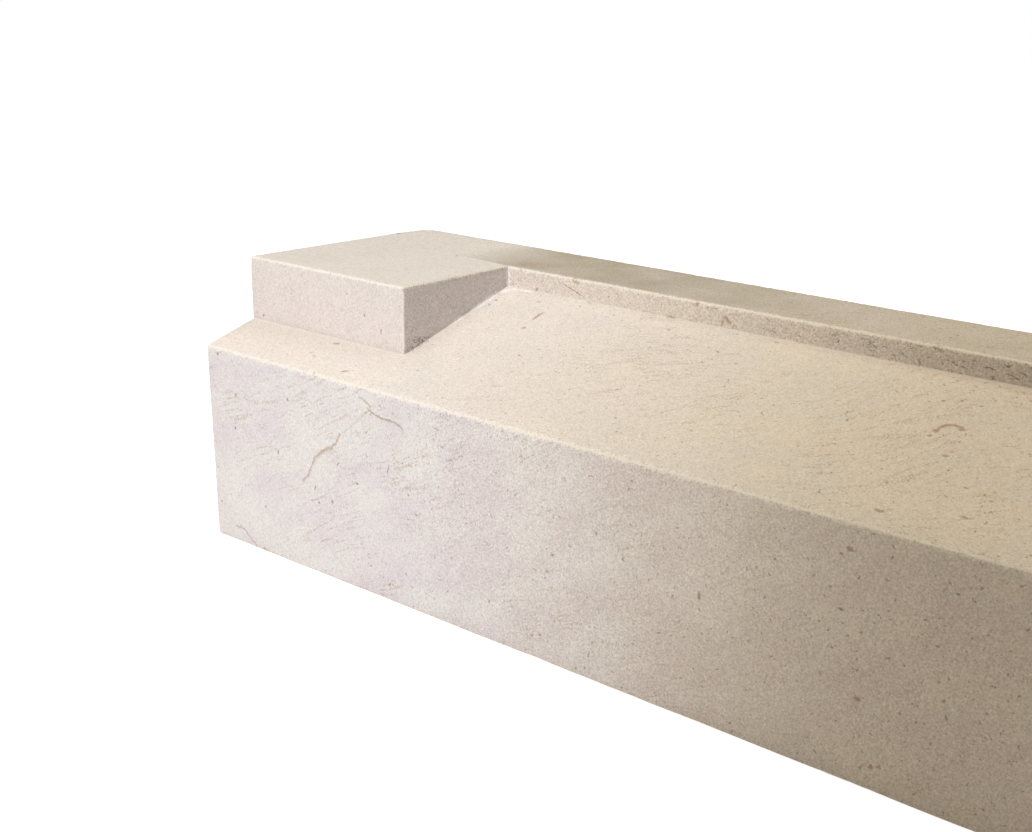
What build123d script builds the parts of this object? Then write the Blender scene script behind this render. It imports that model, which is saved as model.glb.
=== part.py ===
from build123d import *
import os

# Stooled window sill, worked from one block of pale limestone. It lies on its bed, with
# +Z up and the weather face towards -Y. The origin is the middle of the bed.
# A weathered slope runs down to the weather face. It is let in between two stools, the
# flat blocks that the jambs stand on, and ends at a low upstand. The frame seat behind
# the upstand is level with the stools. A drip throat is cut in the bed, near the face.

# Driving sizes, in millimetres
opening_width = 915.0
stool_length = 105.0
bed_depth = 155.0
seat_height = 140.0
face_height = 100.0
seat_width = 52.0
upstand_height = 10.0
stool_setback = 29.0

# Drip throat: a half-round groove that stops short of both ends
throat_radius = 6.0
throat_setback = 24.0
throat_end_stop = 50.0

# The mason takes every outer arris off to a small round
arris_radius = 2.0

# Places that follow from the driving sizes
overall_length = opening_width + 2 * stool_length
end_x = overall_length / 2
reveal_x = opening_width / 2
front_y = -bed_depth / 2
back_y = bed_depth / 2
upstand_y = back_y - seat_width
stool_front_y = front_y + stool_setback
slope_top_z = seat_height - upstand_height
throat_y = front_y + throat_setback
throat_half_length = end_x - throat_end_stop


def weathered_body():
    """The section between the stools, drawn square to the length and run out full length."""
    with BuildPart() as body:
        with BuildSketch(Plane.YZ.offset(-end_x)):
            with BuildLine():
                Polyline(
                    (front_y, 0),
                    (back_y, 0),
                    (back_y, seat_height),
                    (upstand_y, seat_height),
                    (upstand_y, slope_top_z),
                    (front_y, face_height),
                    close=True,
                )
            make_face()
        extrude(amount=overall_length)
    return body.part


def stools():
    """The two end blocks, left standing above the slope as far as the seat's level."""
    stool_middle_x = (reveal_x + end_x) / 2
    with BuildPart() as blocks:
        with BuildSketch():
            with Locations((-stool_middle_x, 0), (stool_middle_x, 0)):
                with Locations((0, (stool_front_y + back_y) / 2)):
                    Rectangle(stool_length, back_y - stool_front_y)
        extrude(amount=seat_height)
    return blocks.part


def drip_throat():
    """The cutter's sweep: half a stadium turned about the groove's axis, so its ends are round."""
    straight_end = throat_half_length - throat_radius
    with BuildPart() as cutter:
        with BuildSketch(Plane.XY):
            with BuildLine():
                Line((-throat_half_length, 0), (throat_half_length, 0))
                JernArc((throat_half_length, 0), (0, 1), throat_radius, 90)
                Line((straight_end, throat_radius), (-straight_end, throat_radius))
                JernArc((-straight_end, throat_radius), (-1, 0), throat_radius, 90)
            make_face()
        revolve(axis=Axis.X)
    return Pos(0, throat_y, 0) * cutter.part


def rub_arrises(stone):
    """Rounds every straight outer edge. Inner corners stay as sharp as the saw left them."""
    outer = [edge for edge in stone.edges() if not edge.is_interior]
    return stone.fillet(arris_radius, outer)


stone = rub_arrises(weathered_body() + stools()) - drip_throat()
stone.label = "window_sill"

os.makedirs("parts", exist_ok=True)
export_step(stone, "parts/window_sill.step")

print("overall length", overall_length, "volume in litres", round(stone.volume / 1e6, 3))
print("solids", len(stone.solids()), "faces", len(stone.faces()), "valid", stone.is_valid)
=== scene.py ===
import math

import bpy
import numpy as np
from mathutils import Matrix, Vector


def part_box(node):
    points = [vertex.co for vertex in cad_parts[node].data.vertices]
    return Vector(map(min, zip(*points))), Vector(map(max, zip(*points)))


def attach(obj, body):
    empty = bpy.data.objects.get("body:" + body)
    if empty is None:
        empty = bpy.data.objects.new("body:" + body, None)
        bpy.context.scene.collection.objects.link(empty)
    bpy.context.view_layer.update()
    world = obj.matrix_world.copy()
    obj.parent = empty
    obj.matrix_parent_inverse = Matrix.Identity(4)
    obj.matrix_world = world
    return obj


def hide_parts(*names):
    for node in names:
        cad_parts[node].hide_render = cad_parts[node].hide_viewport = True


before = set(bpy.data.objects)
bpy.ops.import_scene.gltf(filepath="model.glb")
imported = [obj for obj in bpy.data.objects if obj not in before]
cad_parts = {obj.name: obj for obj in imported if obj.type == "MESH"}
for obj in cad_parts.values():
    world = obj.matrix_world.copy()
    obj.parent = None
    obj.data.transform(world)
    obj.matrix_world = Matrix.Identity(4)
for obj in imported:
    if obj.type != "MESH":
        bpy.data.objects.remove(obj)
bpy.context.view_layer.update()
MM = 0.001

# The camera stands in front of the left end, a little above the stone, and looks down along it.
# The right-hand end runs out of the picture, as in the photograph.
photo_width, photo_height = 1032, 832
focal_pixels = 1247.6
principal_x, principal_y = 600, 448
sensor_width = 36.0
camera_place = Vector((-67.5, -451.3, 259.9)) * MM
camera_turn = math.radians(34.68)
camera_dip = math.radians(19.17)
camera_roll = math.radians(2.43)

camera_data = bpy.data.cameras.new("camera")
camera_data.sensor_width = sensor_width
camera_data.lens = focal_pixels / photo_width * sensor_width
camera_data.shift_x = (photo_width / 2 - principal_x) / photo_width
camera_data.shift_y = (principal_y - photo_height / 2) / photo_width
camera_data.clip_start = 0.01
camera_data.clip_end = 60.0
camera = bpy.data.objects.new("camera", camera_data)
camera.matrix_world = (
    Matrix.Translation(camera_place)
    @ Matrix.Rotation(camera_turn, 4, "Z")
    @ Matrix.Rotation(math.pi / 2 - camera_dip, 4, "X")
    @ Matrix.Rotation(camera_roll, 4, "Z")
)
bpy.context.scene.collection.objects.link(camera)
bpy.context.scene.camera = camera

# The sill is one block of pale, fine-grained limestone, sawn to its bed, back and ends.
# The mason lets the weathered slope in between two stools and rubs the outer arrises to a
# small round, which has since chipped here and there.
stone_low, stone_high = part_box("window_sill")
end_x, back_y, seat_z = stone_high
front_y = stone_low.y
bed_z = stone_low.z
stool_length = 105 * MM
stool_setback = 29 * MM
seat_width = 52 * MM
upstand_height = 10 * MM
face_height = 100 * MM
arris_radius = 2 * MM
throat_radius = 6 * MM
throat_setback = 24 * MM
throat_end_stop = 50 * MM
finest_step = 0.55 * MM
throat_steps = 10
sharp_angle = math.radians(38)

# In metres: a gap under the first counts as none, and points on one step of the second as one.
touching = 1e-7
weld_step = 1e-8

reveal_x = end_x - stool_length
stool_front_y = front_y + stool_setback
upstand_y = back_y - seat_width
slope_top_z = seat_z - upstand_height
slope_fall = (slope_top_z - face_height) / (upstand_y - front_y)
slope_cosine = 1 / math.hypot(1, slope_fall)
throat_y = front_y + throat_setback
throat_straight_x = end_x - throat_end_stop - throat_radius


def slope_z(y):
    """Height of the weathered slope: a straight fall from the upstand's foot to the face."""
    return face_height + slope_fall * (y - front_y)


def graded(length, fine_start, fine_end, widest, finest=finest_step, steps=None):
    """Places from 0 to length on a tanh curve: steps are finest at an arris, widest away from it."""
    bend = math.acosh(math.sqrt(widest / finest))
    reach = (-bend if fine_start else 0.0, bend if fine_end else 0.0)
    span = math.tanh(reach[1]) - math.tanh(reach[0])
    if steps is None:
        steps = math.ceil((reach[1] - reach[0]) * length / span / widest)
    curve = np.tanh(np.linspace(*reach, steps + 1))
    return (curve - curve[0]) / span * length


def side(start, end, *grading, **extra):
    """Points of one straight side of the section, from start up to but not with its end."""
    start, end = np.array(start), np.array(end)
    length = np.linalg.norm(end - start)
    share = graded(length, *grading, **extra)[:-1, None] / length
    return start + (end - start) * share


def throat_side(steps):
    """Points across the throat, spaced as on a half circle: y = middle - radius * cos(angle)."""
    angle = np.linspace(0, math.pi, steps + 1)[:-1]
    return np.stack([throat_y - throat_radius * np.cos(angle), np.full(steps, bed_z)], axis=1)


def sections():
    """The two sections of the stone, as (y, z) rings with as many points each: through the
    slope and through a stool. Both start at the front of the bed and go round by the back."""
    flat, worked, thin = 20 * MM, 2.2 * MM, 1.6 * MM
    foot = (stool_front_y, slope_z(stool_front_y))
    shared_start = np.concatenate([
        side((front_y, bed_z), (throat_y - throat_radius, bed_z), True, False, flat),
        throat_side(throat_steps),
        side((throat_y + throat_radius, bed_z), (back_y, bed_z), False, True, flat),
        side((back_y, bed_z), (back_y, seat_z), True, True, flat),
        side((back_y, seat_z), (upstand_y, seat_z), True, True, flat),
    ])
    stool = np.concatenate([
        side((upstand_y, seat_z), (stool_front_y, seat_z), True, True, worked),
        side((stool_front_y, seat_z), foot, True, True, worked),
    ])
    upstand = side((upstand_y, seat_z), (upstand_y, slope_top_z), True, True, thin)
    run = side((upstand_y, slope_top_z), foot, True, True, flat, steps=len(stool) - len(upstand))
    shared_end = np.concatenate([
        side(foot, (front_y, face_height), True, True, flat),
        side((front_y, face_height), (front_y, bed_z), True, True, flat),
    ])
    weathered = np.concatenate([shared_start, upstand, run, shared_end])
    stooled = np.concatenate([shared_start, stool, shared_end])
    return weathered, stooled


def stations():
    """The path along the stone, from its middle to an end, as three rows: x, the share of the
    stool's section in the section, and the size of the section. The share goes from 0 to 1 in
    the plane of the stool's side, and the size from 1 to 0 in the plane of the end."""
    run_step = 2.1 * MM
    stool_step, stool_finest = 1.6 * MM, 0.5 * MM
    wall_step, wall_finest = 0.12, 0.02
    end_step, end_finest = 0.14, 0.007
    run = np.linspace(0, reveal_x, math.ceil(reveal_x / run_step) + 1)
    wall = graded(1.0, True, True, wall_step, wall_finest)[1:]
    stool = reveal_x + graded(stool_length, True, True, stool_step, stool_finest)[1:]
    end = 1 - graded(1.0, True, False, end_step, end_finest)[1:]
    return np.concatenate([
        [run, np.zeros_like(run), np.ones_like(run)],
        [np.full_like(wall, reveal_x), wall, np.ones_like(wall)],
        [stool, np.ones_like(stool), np.ones_like(stool)],
        [np.full_like(end, end_x), np.ones_like(end), end],
    ], axis=1)


def sharp_stone():
    """The stone before its arrises are rubbed: a grid of points, stations by section points.
    A point is middle + size * (section - middle), with section = (1 - share) * slope's
    section + share * stool's section. The left half is the mirror of the right."""
    middle_height = 60 * MM
    x, share, size = stations()
    x = np.concatenate([-x[:0:-1], x])
    share = np.concatenate([share[:0:-1], share])[:, None, None]
    size = np.concatenate([size[:0:-1], size])[:, None, None]
    weathered, stooled = sections()
    middle = np.array([(front_y + back_y) / 2, middle_height])
    section = weathered + share * (stooled - weathered)
    section = middle + size * (section - middle)
    across = np.broadcast_to(x[:, None, None], section.shape[:2] + (1,))
    return np.concatenate([across, section], axis=2)


def rounded_greatest(distances, radius):
    """The greatest of some distances to planes, with the corner between two planes rounded:
    least(greatest, -radius) + the length of the vector of (distance + radius) above 0."""
    distances = np.stack(np.broadcast_arrays(*distances))
    length = np.sqrt((np.maximum(distances + radius, 0) ** 2).sum(axis=0))
    return np.minimum(distances.max(axis=0), -radius) + length


def stool_outside(points, radius):
    """How far a point lies outside the upright faces of the nearer stool."""
    x, y = points[..., 0], points[..., 1]
    return rounded_greatest([reveal_x - np.abs(x), stool_front_y - y], radius)


def outside(points, radius, over=("slope", "stool")):
    """How far a point lies outside the stone, whose outer arrises have this radius. Only the
    named worked faces are counted: a stone without its stools, or without its slope."""
    x, y, z = np.moveaxis(points, -1, 0)
    worked_top = upstand_y - y
    if "slope" in over:
        worked_top = np.minimum(worked_top, (z - slope_z(y)) * slope_cosine)
    if "stool" in over:
        worked_top = np.minimum(worked_top, stool_outside(points, radius))
    planes = [np.abs(x) - end_x, front_y - y, y - back_y, bed_z - z, z - seat_z, worked_top]
    return rounded_greatest(planes, radius)


def steepest(points, *field):
    """The direction in which a point leaves the stone fastest, by differences of 0.01 mm."""
    reach = 0.01 * MM
    least_slope = 1e-12
    slope = [
        outside(points + step, *field) - outside(points - step, *field)
        for step in np.eye(3) * reach
    ]
    slope = np.stack(slope, axis=-1)
    return slope / np.maximum(np.linalg.norm(slope, axis=-1, keepdims=True), least_slope)


def drawn_onto_stone(points, *field):
    """Points moved onto the stone's surface, down the steepest slope, in 5 steps."""
    for _ in range(5):
        points = points - outside(points, *field)[..., None] * steepest(points, *field)
    return points


def cloud(points, size, seed):
    """A smooth random field from -1 to 1: random numbers on a lattice of this size, joined by
    the blend 3t^2 - 2t^3 between the eight nearest."""
    count = 64
    lattice = np.random.default_rng(seed).uniform(-1, 1, (count, count, count))
    place = points / size
    cell = np.floor(place).astype(int)
    part = place - cell
    blend = part * part * (3 - 2 * part)
    total = np.zeros(points.shape[:-1])
    for corner in np.ndindex(2, 2, 2):
        weight = np.where(corner, blend, 1 - blend).prod(axis=-1)
        total += weight * lattice[tuple(np.moveaxis((cell + corner) % count, -1, 0))]
    return total


def arris_nearness(points):
    """1 on a square outer arris, falling to 0 at 5 mm from it: how far the sharp stone stands
    outside a stone with arrises of 5 mm radius, against the most that it can."""
    reach = 5 * MM
    return np.clip(outside(points, reach) / (reach * (math.sqrt(2) - 1)), 0, 1)


def foot_nearness(points):
    """1 in an inner corner, falling to 0 at 7 mm from it, by the same rule turned inside out."""
    reach = 7 * MM
    y, z = points[..., 1], points[..., 2]
    under_slope = (z - slope_z(y)) * slope_cosine
    seen = [-under_slope, y - upstand_y, -stool_outside(points, 0.0)]
    in_the_open = np.max(seen, axis=0) < touching
    nearness = np.clip(rounded_greatest(seen, reach) / (reach * (math.sqrt(2) - 1)), 0, 1)
    return np.where(in_the_open, nearness, 0.0)


def near(gap, reach):
    """1 where the gap is nothing, falling off as exp(-(gap / reach)^2)."""
    return np.exp(-(gap / reach) ** 2)


def near_stool_side(points, reach):
    """The same, of the gap to the plane of a stool's side, above the weather face and before
    the frame seat."""
    x, y, z = np.moveaxis(points, -1, 0)
    return near(np.abs(x) - reveal_x, reach) * (z > face_height) * (y < upstand_y)


def worn_away(points, arris):
    """Depth in metres that wear takes off: a faint unevenness all over, a ragged line and a
    few small chips along the arrises. It is the depths, in mm, times clouds of several sizes.
    The arrises are worn less below the slope and at the ends, and most at the stools' sides."""
    broad_depth, small_depth = 0.08, 0.03
    fine_rag, coarse_rag = 0.30, 0.16
    chip_depth, chip_start = 2.6, 0.66
    low_wear, high_wear, end_shelter, side_wear = 0.35, 0.65, 0.8, 1.1
    uneven = broad_depth * (1 + cloud(points, 55 * MM, 1)) + small_depth * (1 + cloud(points, 24 * MM, 2))
    ragged = fine_rag * np.maximum(cloud(points, 2.3 * MM, 3), 0)
    ragged += coarse_rag * np.maximum(cloud(points, 6 * MM, 4), 0)
    chips = chip_depth * np.maximum(cloud(points, 6 * MM, 5) - chip_start, 0)
    x, _, z = np.moveaxis(points, -1, 0)
    high = z > face_height - 1 * MM
    at_end = near(end_x - np.abs(x), 4 * MM)
    strength = low_wear + high_wear * high * (1 - end_shelter * at_end)
    strength += side_wear * near_stool_side(points, 4 * MM)
    return (uneven + arris * strength * (ragged + chips)) * MM


def rubbed_radius(points):
    """Radius of the outer arrises: the worked radius times a share that drifts along them. It
    is smaller at the stools' sides and along the back, which is built in. At the top corners of
    the ends, which get knocked, some mm are added to it, and most at the back."""
    share, share_drift = 0.68, 0.2
    side_loss, back_loss = 0.5, 0.6
    knocked, knocked_at_back = 0.7, 3.6
    corner_height = 12 * MM
    x, y, z = np.moveaxis(points, -1, 0)
    at_side = near_stool_side(points, 3 * MM)
    near_top = np.clip((z - seat_z + corner_height) / corner_height, 0, 1)
    at_end = near(end_x - np.abs(x), 7 * MM) * near_top
    at_back = near(back_y - y, 12 * MM)
    at_back_arris = near(back_y - y, 5 * MM)
    radius = arris_radius * (share + share_drift * cloud(points, 30 * MM, 6))
    radius = radius * (1 - side_loss * at_side) * (1 - back_loss * at_back_arris)
    return radius + at_end * (knocked + knocked_at_back * at_back) * MM


def sill_mesh():
    """The worn stone as a closed mesh of triangles, with the nearness of arrises and of inner
    corners kept on its points. The sharp stone's grid is drawn onto the rounded one, each
    stool's faces onto the stool alone and its foot onto stool and slope by turns. Then the
    wear comes off, and the throat is cut: depth^2 = radius^2 - across^2 - beyond^2."""
    sharp = sharp_stone()
    arris = arris_nearness(sharp)
    foot = foot_nearness(sharp)
    radius = rubbed_radius(sharp)
    points = drawn_onto_stone(sharp, radius)
    normal = steepest(points, radius)

    on_slope = np.abs(sharp[..., 2] - slope_z(sharp[..., 1])) < touching
    on_stool = np.abs(stool_outside(sharp, 0.0)) < touching
    above = on_stool & ~on_slope
    points[above] = drawn_onto_stone(sharp[above], radius[above], ("stool",))
    normal[above] = steepest(points[above], radius[above], ("stool",))
    stool_foot = on_stool & on_slope
    corner = sharp[stool_foot]
    for _ in range(6):
        corner = drawn_onto_stone(corner, radius[stool_foot], ("stool",))
        corner = drawn_onto_stone(corner, radius[stool_foot], ("slope",))
    points[stool_foot] = corner
    points = points - normal * worn_away(sharp, arris)[..., None]

    across = sharp[..., 1] - throat_y
    beyond = np.maximum(np.abs(sharp[..., 0]) - throat_straight_x, 0)
    depth = np.sqrt(np.maximum(throat_radius**2 - across**2 - beyond**2, 0))
    in_throat = (sharp[..., 2] < touching) & (depth > 0)
    points[in_throat] = sharp[in_throat]
    points[in_throat, 2] = bed_z + depth[in_throat]

    rows, columns = sharp.shape[:2]
    number = np.arange(rows * columns).reshape(rows, columns)
    ahead = np.roll(number, -1, axis=1)
    corners = [number[:-1], number[1:], ahead[1:], ahead[:-1]]
    quads = np.stack([corner.ravel() for corner in corners], axis=1)
    triangles = np.concatenate([quads[:, [0, 1, 2]], quads[:, [0, 2, 3]]])

    weld = np.round(sharp.reshape(-1, 3) / weld_step).astype(np.int64)
    _, first, same = np.unique(weld, axis=0, return_index=True, return_inverse=True)
    triangles = same.reshape(-1)[triangles]
    a, b, c = triangles.T
    triangles = triangles[(a != b) & (b != c) & (c != a)]

    mesh = bpy.data.meshes.new("sill_stone")
    mesh.from_pydata(points.reshape(-1, 3)[first], [], triangles)
    for name, nearness in (("arris", arris), ("foot", foot)):
        attribute = mesh.attributes.new(name, "FLOAT", "POINT")
        attribute.data.foreach_set("value", nearness.reshape(-1)[first].astype(np.float32))
    mesh.shade_smooth()
    mesh.set_sharp_from_angle(angle=sharp_angle)
    return mesh


sill = bpy.data.objects.new("sill_stone", sill_mesh())
bpy.context.scene.collection.objects.link(sill)

# The finish of the stone: grain, specks and short hairlines all through it, clouds and streaks
# along a bedding that rises to the right, iron-brown veins and stains, a colder weather face,
# a pitted upstand, a duller frame seat, flecks of lime by the stool, arrises rubbed pale and
# given a painted highlight, and painted shade and painted light in the inner corners.
limestone = bpy.data.materials.new("limestone")
limestone.use_nodes = True
stone_tree = limestone.node_tree
stone_tree.nodes.clear()

pale_stone = (0.728, 0.664, 0.604, 1)
cream_stone = (0.657, 0.558, 0.415, 1)
lilac_stone = (0.668, 0.610, 0.622, 1)
chalky_stone = (0.690, 0.650, 0.630, 1)
stool_top_stone = (0.745, 0.700, 0.640, 1)
stool_stone = (0.690, 0.620, 0.590, 1)
stool_side_stone = (0.632, 0.580, 0.568, 1)
upstand_stone = (0.610, 0.520, 0.440, 1)
dull_seat = (0.430, 0.372, 0.282, 1)
# Pale of rubbed arrises and specks, and of painted highlight and painted light.
pale_rub_and_light = (0.860, 0.785, 0.700, 1)
rosy_stone = (0.640, 0.535, 0.440, 1)
olive_stain = (0.400, 0.330, 0.200, 1)
limewash = (0.920, 0.920, 0.940, 1)
cream_rub_and_highlight = (0.800, 0.720, 0.540, 1)
iron_brown = (0.350, 0.205, 0.108, 1)
iron_tan = (0.410, 0.280, 0.180, 1)
streak_brown = (0.360, 0.220, 0.120, 1)
# Dark of specks, pits and marks, and of painted shade.
dark_fleck_and_shade = (0.170, 0.130, 0.100, 1)
bed_direction = Vector((-0.50, 0.34, 1.0)).normalized()
noise_turn = [math.radians(angle) for angle in (31, 17, 43)]


def put(kind, inputs=(), **settings):
    """One node of the stone's finish. An input that is a socket is joined, another is set."""
    node = stone_tree.nodes.new("ShaderNode" + kind)
    for name, value in settings.items():
        setattr(node, name, value)
    for key, value in dict(inputs).items():
        if isinstance(value, bpy.types.NodeSocket):
            stone_tree.links.new(value, node.inputs[key])
        else:
            node.inputs[key].default_value = value
    return node


def reckon(operation, *values):
    """A sum on numbers, such as ADD or MULTIPLY."""
    return put("Math", enumerate(values), operation=operation).outputs[0]


def rising(value, rise, start):
    """start + rise * value."""
    return reckon("MULTIPLY_ADD", value, rise, start)


def swing(noise):
    """A noise about 0.5, moved so that it is about 0."""
    return reckon("SUBTRACT", noise, 0.5)


def rest_of(mask):
    """1 where the mask is 0, and 0 where it is 1."""
    return reckon("SUBTRACT", 1.0, mask)


def all_of(*masks):
    """The product of several masks."""
    total = masks[0]
    for mask in masks[1:]:
        total = reckon("MULTIPLY", total, mask)
    return total


def between(value, low, high):
    """0 where the value is low, 1 where it is high, with a soft change between."""
    inputs = {"Value": value, "From Min": low, "From Max": high}
    return put("MapRange", inputs, interpolation_type="SMOOTHSTEP", clamp=False).outputs["Result"]


def blend_colour(share, first, second, blend_type="MIX"):
    """The first colour with a share of the second over it."""
    inputs = {0: share, 6: first, 7: second}
    return put("Mix", inputs, data_type="RGBA", blend_type=blend_type).outputs[2]


def painted(colour, paint, *masks, share=1.0):
    """The colour with a paint over it where all the masks are 1, and with this share at most."""
    cover = all_of(*masks)
    if share < 1.0:
        cover = reckon("MULTIPLY", cover, share)
    return blend_colour(cover, colour, paint)


def grains(where, size, detail=2.0, roughness=0.5):
    """Soft noise about 0.5, with grains of this size in metres."""
    inputs = {"Vector": where, "Scale": 1 / size, "Detail": detail, "Roughness": roughness}
    return put("TexNoise", inputs).outputs["Fac"]


def squeezed(where, direction, times):
    """The place with its measure along one direction made longer, which flattens a noise into
    layers square to that direction."""
    aside = Vector((0.3, 1, 0.2))
    direction = Vector(direction).normalized()
    first = direction.cross(aside).normalized()
    second = direction.cross(first)
    axes = [
        put("VectorMath", {0: where, 1: axis}, operation="DOT_PRODUCT").outputs["Value"]
        for axis in (first, second, direction * times)
    ]
    return put("CombineXYZ", enumerate(axes)).outputs[0]


def stirred(where, size, reach, detail):
    """The place moved by up to half the reach each way, by a noise of this size."""
    stir = put("TexNoise", {"Vector": turned, "Scale": 1 / size, "Detail": detail})
    stir = put("VectorMath", {0: stir.outputs["Color"], 1: (0.5, 0.5, 0.5)}, operation="SUBTRACT")
    stir = put("VectorMath", {0: stir.outputs[0], "Scale": reach}, operation="SCALE")
    return put("VectorMath", {0: where, 1: stir.outputs[0]}, operation="ADD").outputs[0]


def hairlines(where):
    """Short thin curved dashes: the places where one noise crosses its middle, kept only
    where another noise is high."""
    line_edge, line_core = 0.026, 0.008
    crossing = reckon("ABSOLUTE", swing(grains(where, size=4.4 * MM, detail=0.0)))
    kept = between(grains(where, size=2.3 * MM, detail=0.0), 0.64, 0.70)
    return reckon("MULTIPLY", between(crossing, line_edge, line_core), kept)


def mark(where, middle, half_size, turn=(0, 0, 0)):
    """A soft spot: 1 in the core of an ellipsoid of this half size, in mm, and 0 past its rim.
    On a shaken place it comes out uneven."""
    rim, core = 1.15, 0.35
    inputs = {
        "Vector": where,
        "Location": Vector(middle) * MM,
        "Rotation": [math.radians(angle) for angle in turn],
        "Scale": Vector(half_size) * MM,
    }
    local = put("Mapping", inputs, vector_type="TEXTURE").outputs[0]
    reach = put("VectorMath", {0: local}, operation="LENGTH").outputs["Value"]
    return between(reach, rim, core)


def marks(where, spots):
    """Several marks as one mask: the strongest at each place."""
    total = 0.0
    for spot in spots:
        total = reckon("MAXIMUM", total, mark(where, *spot))
    return total


def arc_mark(where, middle, radius, width, facing):
    """Part of a ring that stands in the slope: 1 near the circle and 0 a width away from it, on
    the side that the facing angle, in degrees from +X, points to. Sizes are in mm."""
    height_times, core = 12, 0.3
    inputs = {
        "Vector": where,
        "Location": Vector(middle) * MM,
        "Rotation": (0, 0, math.radians(facing)),
        "Scale": Vector((radius, radius, height_times * radius)) * MM,
    }
    local = put("Mapping", inputs, vector_type="TEXTURE").outputs[0]
    reach = put("VectorMath", {0: local}, operation="LENGTH").outputs["Value"]
    gap = reckon("ABSOLUTE", reckon("SUBTRACT", reach, 1.0))
    facing_share = put("SeparateXYZ", {0: local}).outputs[0]
    line = between(gap, width / radius, core * width / radius)
    return all_of(line, between(facing_share, 0.25, 0.45))


def vein(where, course, width, strength):
    """A thin vein on the weather face, which fades at both ends. Its height follows a curve
    through (x, z) points in mm, and it is 0 at the width, in mm, from that curve."""
    core = 0.2
    x_low, x_high = course[0][0], course[-1][0]
    z_top = face_height / MM
    spot = put("SeparateXYZ", {0: where})
    span = {"From Min": x_low * MM, "From Max": x_high * MM}
    across = put("MapRange", {"Value": spot.outputs[0], **span}, clamp=False).outputs["Result"]
    curve = put("FloatCurve", {"Value": across})
    points = curve.mapping.curves[0].points
    for _ in course[2:]:
        points.new(0.5, 0.5)
    for point, (x, z) in zip(points, course):
        point.location = ((x - x_low) / (x_high - x_low), z / z_top)
    curve.mapping.update()
    level = reckon("MULTIPLY", curve.outputs[0], face_height)
    gap = reckon("ABSOLUTE", reckon("SUBTRACT", spot.outputs[2], level))
    line = between(gap, width * MM, core * width * MM)
    inside = all_of(between(across, -0.02, 0.04), between(across, 1.02, 0.96))
    in_face = between(spot.outputs[1], front_y + 3 * MM, front_y + 1 * MM)
    return all_of(line, inside, in_face, strength)


where = put("TexCoord").outputs["Object"]
along, depthwise, height = put("SeparateXYZ", {0: where}).outputs
turned = put("Mapping", {"Vector": where, "Rotation": noise_turn}).outputs[0]

shaken = stirred(where, size=2.2 * MM, reach=2.4 * MM, detail=2.0)
shaken_turned = put("Mapping", {"Vector": shaken, "Rotation": noise_turn}).outputs[0]

# The single marks as the photograph shows them: middle, half size and turn in mm and degrees.
face_y, seat_y = front_y / MM, upstand_y / MM
iron_marks = [
    ((-422, 5, 124), (1.1, 6.5, 2.5), (0, 0, -4)),
    ((-421, -7, 120), (1.3, 1.6, 2)),
    ((-217, -15, 118), (1.5, 2.2, 2.5), (0, 0, -16)),
    ((-209, -11, 120), (1.8, 1.1, 2.5)),
    ((-218, -19, 117), (1.3, 1.0, 2.5)),
    ((-208, -29, 114), (2.0, 0.9, 2)),
    ((-215, -68, 103), (2.2, 0.9, 2)),
    ((-188, -60, 105), (2.2, 0.8, 2)),
    ((-194, -44, 110), (1.4, 0.8, 2)),
    ((-348, seat_y, 139), (1.5, 2, 2.0)),
    ((-332, seat_y, 134), (3.0, 2, 1.0), (0, 35, 0)),
    ((-334, seat_y, 132), (0.9, 2, 2.0)),
    ((-416, seat_y, 139), (3.0, 2, 1.4), (0, 20, 0)),
    ((-498, -52, 107), (2.4, 1.2, 2), (0, 0, 15)),
    ((-474, -70, 102), (2.6, 0.8, 2), (0, 0, 40)),
    ((-220, face_y, 90), (2.0, 2, 1.1)),
    ((-278, face_y, 54), (0.9, 2, 2.6)),
    ((-211, face_y, 35), (2.0, 2, 1.2)),
    ((-203, face_y, 10), (1.2, 2, 1.1)),
    ((-526, face_y, 1), (4.0, 2, 1.2)),
]
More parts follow.
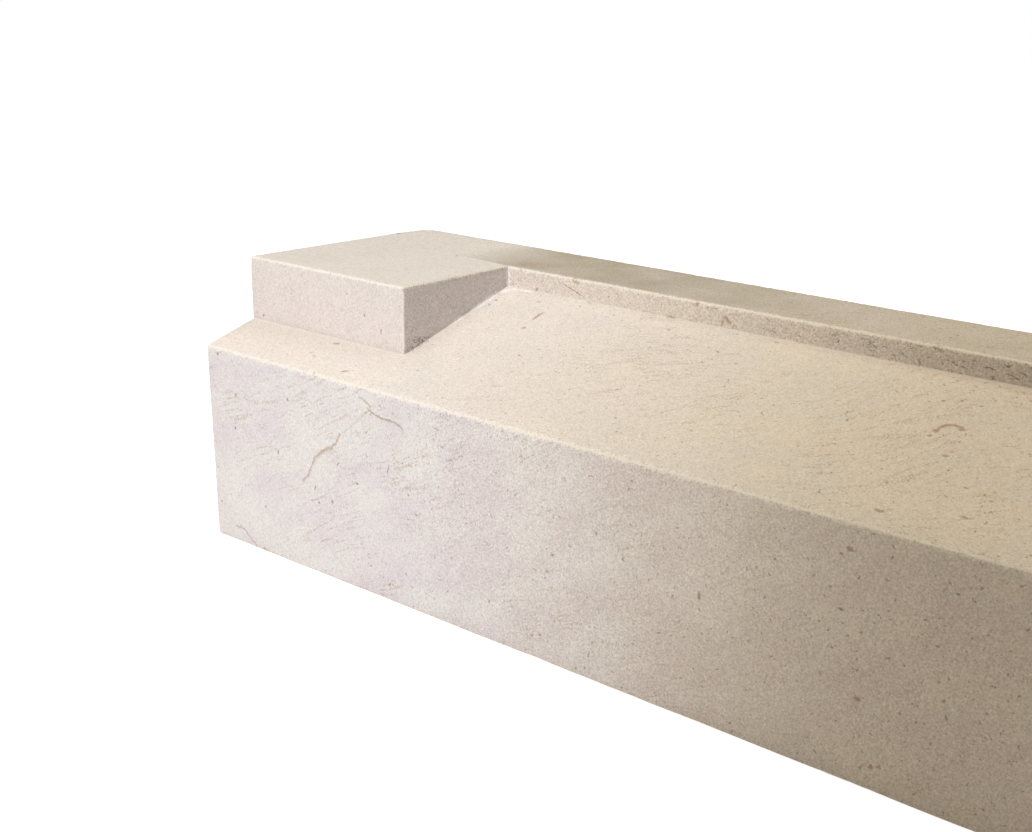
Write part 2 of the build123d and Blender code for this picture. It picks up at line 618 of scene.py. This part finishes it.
dark_marks = [
    ((-554, face_y, 97), (0.8, 2, 0.8)),
    ((-505, face_y, 84), (0.9, 2, 1.1)),
    ((-460, face_y, 53), (1.0, 2, 0.9)),
    ((-486, face_y, 37), (0.9, 2, 0.8)),
    ((-524, face_y, 25), (0.9, 2, 0.8)),
    ((-472, face_y, 60), (1.8, 2, 0.6), (0, -35, 0)),
    ((-488, face_y, 44), (0.4, 2, 2.0), (0, 40, 0)),
    ((-487, -77, 100), (1.2, 1.2, 1.2)),
    ((-453, 6, 124), (0.8, 0.8, 2)),
    ((-453, 11, 126), (0.8, 0.9, 2)),
    ((-493, 27, 140), (0.9, 0.9, 2)),
    ((-559, 53, 140), (1.2, 3.0, 2), (0, 0, 20)),
    ((-554, -48, 111), (0.9, 2, 0.8)),
    ((-472, -48, 117), (0.5, 2, 1.5)),
    ((-483, -48, 123), (0.6, 2, 1.0)),
    ((-439, seat_y, 131), (0.8, 2, 1.6), (0, 45, 0)),
    ((-438, seat_y, 129), (1.8, 2, 0.7)),
    ((-417, seat_y, 134), (9.0, 2, 0.35), (0, 21, 0)),
    ((-404, seat_y, 129), (6.0, 2, 0.6), (0, 8, 0)),
    ((-513, face_y, 56), (0.7, 2, 1.7), (0, 25, 0)),
    ((-440, face_y, 65), (0.5, 2, 2.8), (0, 6, 0)),
    ((-542, face_y, 78), (0.5, 2, 1.6)),
    ((-544, face_y, 61), (0.8, 2, 0.9)),
    ((-558, face_y, 19), (0.7, 2, 0.9)),
    ((-477, face_y, 40), (0.9, 2, 1.0)),
    ((-221, face_y, 67), (1.2, 2, 0.8)),
    ((-181, face_y, 85), (1.1, 2, 0.6)),
    ((-355, -1, 122), (0.8, 0.7, 2)),
    ((-250, -21, 116), (0.9, 0.6, 2)),
    ((-223, 5, 124), (0.8, 0.6, 2)),
    ((-361, seat_y, 130), (2.6, 2, 0.5)),
    ((-278, seat_y, 134), (0.8, 2, 0.5)),
    ((-249, seat_y, 134), (0.9, 2, 0.6)),
    ((-236, seat_y, 139), (2.4, 2, 0.5)),
    ((-214, seat_y, 135), (1.9, 2, 0.5)),
    ((-206, seat_y, 137), (1.2, 2, 0.6)),
]
pale_marks = [
    ((-455, 21, 129), (3.0, 3.0, 2.5)),
    ((-452, 24, 129), (3.0, 1.5, 1.5)),
    ((-445, 24.5, 129), (5.0, 1.1, 1.4)),
    ((-457, 25, 134), (1.0, 1.3, 7)),
    ((-475, 26.5, 140), (20, 0.75, 2), (0, 0, -4)),
    ((-457, 8, 125), (2.4, 14, 1.5), (16, 0, 0)),
    ((-457, -12, 119.2), (1.8, 5, 1.2), (16, 0, 0)),
]

# The courses of the veins on the weather face, as (x, z) points in mm.
front_vein = [(-497, 45), (-493, 49), (-488, 58), (-480, 65), (-476, 67), (-470, 75)]
faint_vein = [(-471, 74), (-462, 81), (-452, 90)]
upper_vein = [(-453, 91), (-448, 89), (-442, 88), (-437, 88), (-433, 87), (-430, 84)]
short_vein = [(-458, 95), (-455, 94), (-450, 92)]
corner_vein = [(-548, 8), (-542, 8), (-536, 4), (-532, 1)]

# The stone is pale at the ends and goes over to cream in the middle of its length.
middle_x = reckon("ABSOLUTE", along)
length_warmth = between(middle_x, 450 * MM, 190 * MM)
slow = grains(turned, size=130 * MM, detail=1.0)
warmth = rising(swing(slow), 0.5, length_warmth)
colour = blend_colour(warmth, pale_stone, cream_stone)

# Where the faces are. Each mask is 1 on its face and has a soft edge. The upright mask takes in
# the upstand and the stools' fronts and sides, but not the weather face, the back or the ends.
on_face = between(depthwise, front_y + 2.0 * MM, front_y + 0.5 * MM)
behind_front = between(depthwise, front_y + 20 * MM, front_y + 27 * MM)
before_seat = between(depthwise, upstand_y + 1 * MM, upstand_y - 0.5 * MM)
below_top = between(height, seat_z - 0.2 * MM, seat_z - 1.4 * MM)
at_top = between(height, seat_z - 1.4 * MM, seat_z - 0.4 * MM)
above_slope = reckon("SUBTRACT", height, rising(depthwise, slope_fall, slope_z(0.0)))
off_end = between(middle_x, end_x - 0.3 * MM, end_x - 1.0 * MM)
upright = all_of(behind_front, before_seat, below_top, off_end)
upright = all_of(upright, between(above_slope, 0.05 * MM, 0.35 * MM))
in_stool = between(middle_x, reveal_x - 1.2 * MM, reveal_x - 0.4 * MM)

# Clouds along the bedding go from lilac to chalky, most strongly on the weather face, and it
# is rosier in the middle of the length. The stools and the upstand have tones of their own.
wavy = stirred(where, size=85 * MM, reach=30 * MM, detail=1.0)
clouds = grains(squeezed(wavy, bed_direction, 1.9), size=34 * MM)
cloud_side = between(clouds, 0.36, 0.64)
cold_face = blend_colour(cloud_side, lilac_stone, chalky_stone)
colour = painted(colour, cold_face, on_face, rising(length_warmth, -0.88, 1.0))
colour = painted(colour, lilac_stone, rising(cloud_side, -0.10, 0.10))
colour = painted(colour, rosy_stone, on_face, length_warmth, rising(cloud_side, -0.55, 0.65))
colour = painted(colour, stool_top_stone, at_top, in_stool, share=0.55)
colour = painted(colour, stool_stone, upright, in_stool, share=0.90)
behind_stool_front = between(depthwise, stool_front_y + 0.6 * MM, stool_front_y + 1.6 * MM)
stool_side = all_of(upright, in_stool, behind_stool_front)
colour = painted(colour, stool_side_stone, stool_side)
in_upstand = all_of(upright, rest_of(in_stool))
colour = painted(colour, upstand_stone, in_upstand, share=0.70)

# The frame seat has gone dull between the stools, most of all near them, and has a faint
# olive stain by the left one.
in_seat = all_of(between(depthwise, upstand_y - 1 * MM, upstand_y + 3 * MM), at_top)
by_stools = between(middle_x, 240 * MM, 400 * MM)
between_stools = between(middle_x, reveal_x + 45 * MM, reveal_x - 5 * MM)
dulled = all_of(in_seat, between_stools, rising(by_stools, 0.36, 0.42))
colour = painted(colour, dull_seat, dulled, rising(clouds, 1.4, 0.40))
seat_stain = mark(wavy, middle=(-440, 52, 140), half_size=(16, 14, 12))
colour = painted(colour, olive_stain, in_seat, seat_stain, share=0.22)

# The noises that the grain and the specks are made of, and the patches that streaks lie in.
fine = grains(turned, size=0.85 * MM, roughness=0.65)
coarse = grains(turned, size=2.6 * MM, roughness=0.6)
specky = grains(shaken_turned, size=1.9 * MM, detail=1.0)
blotchy = grains(shaken_turned, size=4.2 * MM, roughness=0.6)
patches = between(grains(turned, size=40 * MM, detail=1.0), 0.40, 0.58)

# Brown streaks follow the bedding on the weather face, and on the other faces away from the
# stools. The upstand is scored on a slant, and gets darker and rougher towards the middle.
streaks = grains(squeezed(wavy, bed_direction, 9), size=13 * MM, detail=3.0, roughness=0.65)
streaked_face = all_of(on_face, rising(length_warmth, -0.45, 0.85))
streaked_others = all_of(rest_of(on_face), between(middle_x, 445 * MM, 345 * MM))
streaked = reckon("ADD", streaked_face, all_of(streaked_others, 0.80))
banded = all_of(between(streaks, 0.50, 0.66), patches, streaked)
scores = grains(squeezed(where, (0.7, 0, 1), 7), size=6 * MM, roughness=0.6)
scored = all_of(in_upstand, between(scores, 0.48, 0.66))
mid_length = between(middle_x, 400 * MM, 210 * MM)
rough_upstand = all_of(in_upstand, rising(mid_length, 0.60, 0.70))
roughened = reckon("MAXIMUM", all_of(banded, 0.45), rough_upstand)
colour = painted(colour, streak_brown, banded, rising(between(fine, 0.56, 0.44), 0.20, 0.16))
score_share = rising(mid_length, 0.11, 0.13)
score_share = reckon("MAXIMUM", all_of(scored, score_share), all_of(in_upstand, mid_length, 0.15))
colour = painted(colour, dark_fleck_and_shade, score_share)

# The grain makes the colour lighter and darker, by a contrast that differs from face to face,
# and tints it a little warmer or colder.
open_face = all_of(on_face, between(middle_x, 450 * MM, 380 * MM))
contrast = rising(roughened, 0.85, 0.70)
contrast = rising(all_of(at_top, in_stool), -0.10, contrast)
for mask, added in ((in_seat, 0.35), (stool_side, 0.45), (open_face, 0.32)):
    contrast = rising(mask, added, contrast)
shade = rising(swing(fine), contrast, 1.0)
for noise, depth in ((coarse, 0.20), (clouds, 0.08)):
    shade = rising(swing(noise), depth, shade)
tint = swing(specky)
reddened = rising(tint, 0.09, shade)
blued = rising(tint, -0.08, shade)
grey = put("CombineColor", {0: reddened, 1: shade, 2: blued}).outputs[0]
colour = blend_colour(1.0, colour, grey, "MULTIPLY")

# Dark specks stand where a noise is high, and are fainter on the stools. With them go the
# hairlines, and long pits in the upstand. Pale specks stand where the noise is low.
speck_level = rising(mid_length, 0.012, specky)
for mask in (roughened, on_face):
    speck_level = rising(mask, 0.010, speck_level)
small_specks = between(speck_level, 0.708, 0.766)
large_specks = between(blotchy, 0.730, 0.780)
specks = reckon("MAXIMUM", all_of(small_specks, 0.50), all_of(large_specks, 0.56))
specks = all_of(specks, rising(in_stool, -0.55, 1.0))
specks = reckon("MAXIMUM", specks, all_of(hairlines(turned), 0.22))
pit_grain = grains(squeezed(shaken, (0.12, 0, 1), 3.2), size=4.2 * MM, roughness=0.6)
pit_level = rising(mid_length, 0.05, pit_grain)
pits = all_of(in_upstand, between(pit_level, 0.645, 0.680), rising(mid_length, 0.80, 0.16))
specks = reckon("MAXIMUM", specks, pits)
colour = painted(colour, dark_fleck_and_shade, specks)
colour = painted(colour, pale_rub_and_light, between(specky, 0.265, 0.22), share=0.45)

# The single marks: iron stains and veins, dark flecks, a rough patch at the foot of the left
# stool's side, and flecks of lime in the corner by it.
iron = all_of(marks(shaken, iron_marks), 0.70)
arc = arc_mark(shaken, middle=(-212, -14.2, 118.4), radius=4.95, width=1.1, facing=119)
iron = reckon("MAXIMUM", iron, all_of(arc, 0.65))
for course, width, strength in (
    (faint_vein, 0.9, 0.16),
    (upper_vein, 0.8, 0.60),
    (front_vein, 0.6, 0.34),
    (short_vein, 0.7, 0.50),
    (corner_vein, 0.9, 0.50),
):
    iron = reckon("MAXIMUM", iron, vein(shaken, course, width, strength))
colour = painted(colour, iron_brown, iron)
thinned = between(coarse, 0.25, 0.60)
colour = painted(colour, iron_tan, vein(shaken, front_vein, width=2.0, strength=0.58), thinned)
colour = painted(colour, dark_fleck_and_shade, marks(shaken, dark_marks), share=0.70)
rough_foot = mark(where, middle=(-457.5, -38, 112), half_size=(2.5, 11, 5))
colour = painted(colour, dark_fleck_and_shade, rough_foot, between(fine, 0.52, 0.40), share=0.70)
colour = painted(colour, limewash, marks(shaken, pale_marks), between(fine, 0.36, 0.50))

# The arrises are rubbed pale along a ragged line, less so on the upright faces: partly wear and
# partly a painted highlight. The top arris of a stool's side is nibbled, and its teeth are
# painted dark and pale by turns, as painted shade and painted highlight.
arris = put("Attribute", attribute_name="arris").outputs["Fac"]
ragged = rising(swing(fine), 1.3, reckon("MULTIPLY", coarse, 0.5))
rub_and_highlight = between(reckon("ADD", arris, ragged), 0.74, 1.06)
rub_and_highlight_colour = blend_colour(warmth, pale_rub_and_light, cream_rub_and_highlight)
# Rubbed wear and a painted highlight along the arrises.
colour = painted(colour, rub_and_highlight_colour, rub_and_highlight, rising(upright, -0.30, 0.62))
side_gap = reckon("ABSOLUTE", reckon("SUBTRACT", middle_x, reveal_x))
side_arris = all_of(between(side_gap, 2.2 * MM, 1.0 * MM), before_seat)
side_arris = all_of(side_arris, between(height, seat_z - 3.0 * MM, seat_z - 1.5 * MM))
# Dark teeth just below a stool's top arris: painted shade.
colour = painted(colour, dark_fleck_and_shade, side_arris, between(fine, 0.52, 0.62), share=0.55)
# Pale teeth between them: painted highlight.
colour = painted(colour, pale_rub_and_light, side_arris, between(fine, 0.48, 0.38), share=0.60)

# In the inner corners the upstand is darker in patches. The stools' faces are painted darker towards
# their feet, as painted shade, and the slope beside the corners is painted paler, as painted light.
foot = put("Attribute", attribute_name="foot").outputs["Fac"]
corner_dark_patches = all_of(between(foot, 0.40, 1.0), between(coarse, 0.50, 0.62))
colour = painted(colour, dark_fleck_and_shade, corner_dark_patches, in_upstand, share=0.36)
at_foot = between(foot, 0.30, 1.0)
# Painted shade at the feet of the stools' faces.
colour = painted(colour, dark_fleck_and_shade, at_foot, upright, in_stool, share=0.12)
# Painted light on the slope by the inner corners, which lifts the shade that falls there.
colour = painted(colour, pale_rub_and_light, at_foot, rest_of(upright), share=0.30)

# The surface is matt. Its relief is the grain, deeper on the arrises, with a small hollow at
# each small speck.
relief = rising(fine, 0.70, reckon("MULTIPLY", coarse, 0.45))
relief = reckon("MULTIPLY", relief, rising(arris, 1.8, 1.0))
relief = rising(small_specks, -0.8, relief)
grain_bump = put("Bump", {"Height": relief, "Strength": 0.6, "Distance": 0.35 * MM})
roughness = rising(fine, 0.16, 0.80)
surface = put("BsdfPrincipled", {
    "Base Color": colour,
    "Roughness": roughness,
    "Specular IOR Level": 0.25,
    "Normal": grain_bump.outputs[0],
})
put("OutputMaterial", {"Surface": surface.outputs[0]})

sill.data.materials.append(limestone)
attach(sill, "root")
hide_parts("window_sill")

# The floor is a plain pale sheet that the stone lies on. The camera sees it and the sky behind
# it as white, and it keeps the stone's own soft shadow.
floor_reach = 12.0
floor_colour = (0.80, 0.79, 0.78, 1)
floor_glow = 0.82
sky_colour = (1.0, 0.955, 0.88, 1)
sky_strength = 0.28

floor_mesh = bpy.data.meshes.new("floor")
floor_corners = np.array([(-1, -1), (1, -1), (1, 1), (-1, 1)]) * floor_reach
floor_mesh.from_pydata(np.column_stack([floor_corners, np.full(4, bed_z)]), [], [(0, 1, 2, 3)])
floor = bpy.data.objects.new("floor", floor_mesh)
bpy.context.scene.collection.objects.link(floor)


def seen_plainly(tree):
    """1 for a ray that comes from the camera, a reflection or a glass, and 0 for scattered light."""
    path = tree.nodes.new("ShaderNodeLightPath")
    total = path.outputs["Is Camera Ray"]
    for other in ("Is Glossy Ray", "Is Transmission Ray"):
        either = tree.nodes.new("ShaderNodeMath")
        either.operation = "MAXIMUM"
        tree.links.new(total, either.inputs[0])
        tree.links.new(path.outputs[other], either.inputs[1])
        total = either.outputs[0]
    return total


floor_paint = bpy.data.materials.new("floor_paint")
floor_paint.use_nodes = True
floor_tree = floor_paint.node_tree
floor_tree.nodes.clear()
matt = floor_tree.nodes.new("ShaderNodeBsdfDiffuse")
matt.inputs["Color"].default_value = floor_colour
glow = floor_tree.nodes.new("ShaderNodeEmission")
glow_level = floor_tree.nodes.new("ShaderNodeMath")
glow_level.operation = "MULTIPLY"
glow_level.inputs[1].default_value = floor_glow
floor_tree.links.new(seen_plainly(floor_tree), glow_level.inputs[0])
floor_tree.links.new(glow_level.outputs[0], glow.inputs["Strength"])
both = floor_tree.nodes.new("ShaderNodeAddShader")
floor_tree.links.new(matt.outputs[0], both.inputs[0])
floor_tree.links.new(glow.outputs[0], both.inputs[1])
floor_out = floor_tree.nodes.new("ShaderNodeOutputMaterial")
floor_tree.links.new(both.outputs[0], floor_out.inputs["Surface"])
floor_mesh.materials.append(floor_paint)

sky = bpy.data.worlds.new("sky")
sky.use_nodes = True
sky_tree = sky.node_tree
sky_tree.nodes.clear()
sky_light = sky_tree.nodes.new("ShaderNodeBackground")
sky_light.inputs["Color"].default_value = sky_colour
sky_light.inputs["Strength"].default_value = sky_strength
sky_seen = sky_tree.nodes.new("ShaderNodeBackground")
sky_seen.inputs["Color"].default_value = (1, 1, 1, 1)
sky_mix = sky_tree.nodes.new("ShaderNodeMixShader")
sky_tree.links.new(seen_plainly(sky_tree), sky_mix.inputs["Fac"])
sky_tree.links.new(sky_light.outputs[0], sky_mix.inputs[1])
sky_tree.links.new(sky_seen.outputs[0], sky_mix.inputs[2])
sky_out = sky_tree.nodes.new("ShaderNodeOutputWorld")
sky_tree.links.new(sky_mix.outputs[0], sky_out.inputs["Surface"])
bpy.context.scene.world = sky

# The lamps are a wide soft one overhead, and one low in front of each end. The light of these
# falls off along the stone, as in the photograph, and both ends read alike.
overhead_height = 1.5
overhead_power = 17.5
overhead_size = (2.4, 1.4)
overhead_colour = (1.0, 0.965, 0.905)
front_height = 0.52
front_distance = 1.20
front_power = 41.0
front_colour = (0.97, 0.985, 1.0)
front_size = 0.07
front_angle = math.radians(33)
front_side_step = 0.005
front_aim_step = 0.03
front_aim_height = 0.1

overhead_data = bpy.data.lights.new("lamp_overhead", "AREA")
overhead_data.shape = "RECTANGLE"
overhead_data.size, overhead_data.size_y = overhead_size
overhead_data.energy = overhead_power
overhead_data.color = overhead_colour
overhead = bpy.data.objects.new("lamp_overhead", overhead_data)
overhead.location = (0, 0, overhead_height)
bpy.context.scene.collection.objects.link(overhead)

for name, sign in (("lamp_left", -1), ("lamp_right", 1)):
    lamp_data = bpy.data.lights.new(name, "SPOT")
    lamp_data.energy = front_power
    lamp_data.color = front_colour
    lamp_data.shadow_soft_size = front_size
    lamp_data.spot_size = front_angle
    lamp_data.spot_blend = 1.0
    lamp = bpy.data.objects.new(name, lamp_data)
    lamp_place = Vector((sign * (reveal_x + front_side_step), -front_distance, front_height))
    lamp_target = Vector((sign * (end_x - front_aim_step), 0.0, front_aim_height))
    lamp.location = lamp_place
    lamp.rotation_mode = "QUATERNION"
    lamp.rotation_quaternion = (lamp_target - lamp_place).to_track_quat("-Z", "Y")
    bpy.context.scene.collection.objects.link(lamp)

bpy.context.scene.view_settings.view_transform = "Standard"
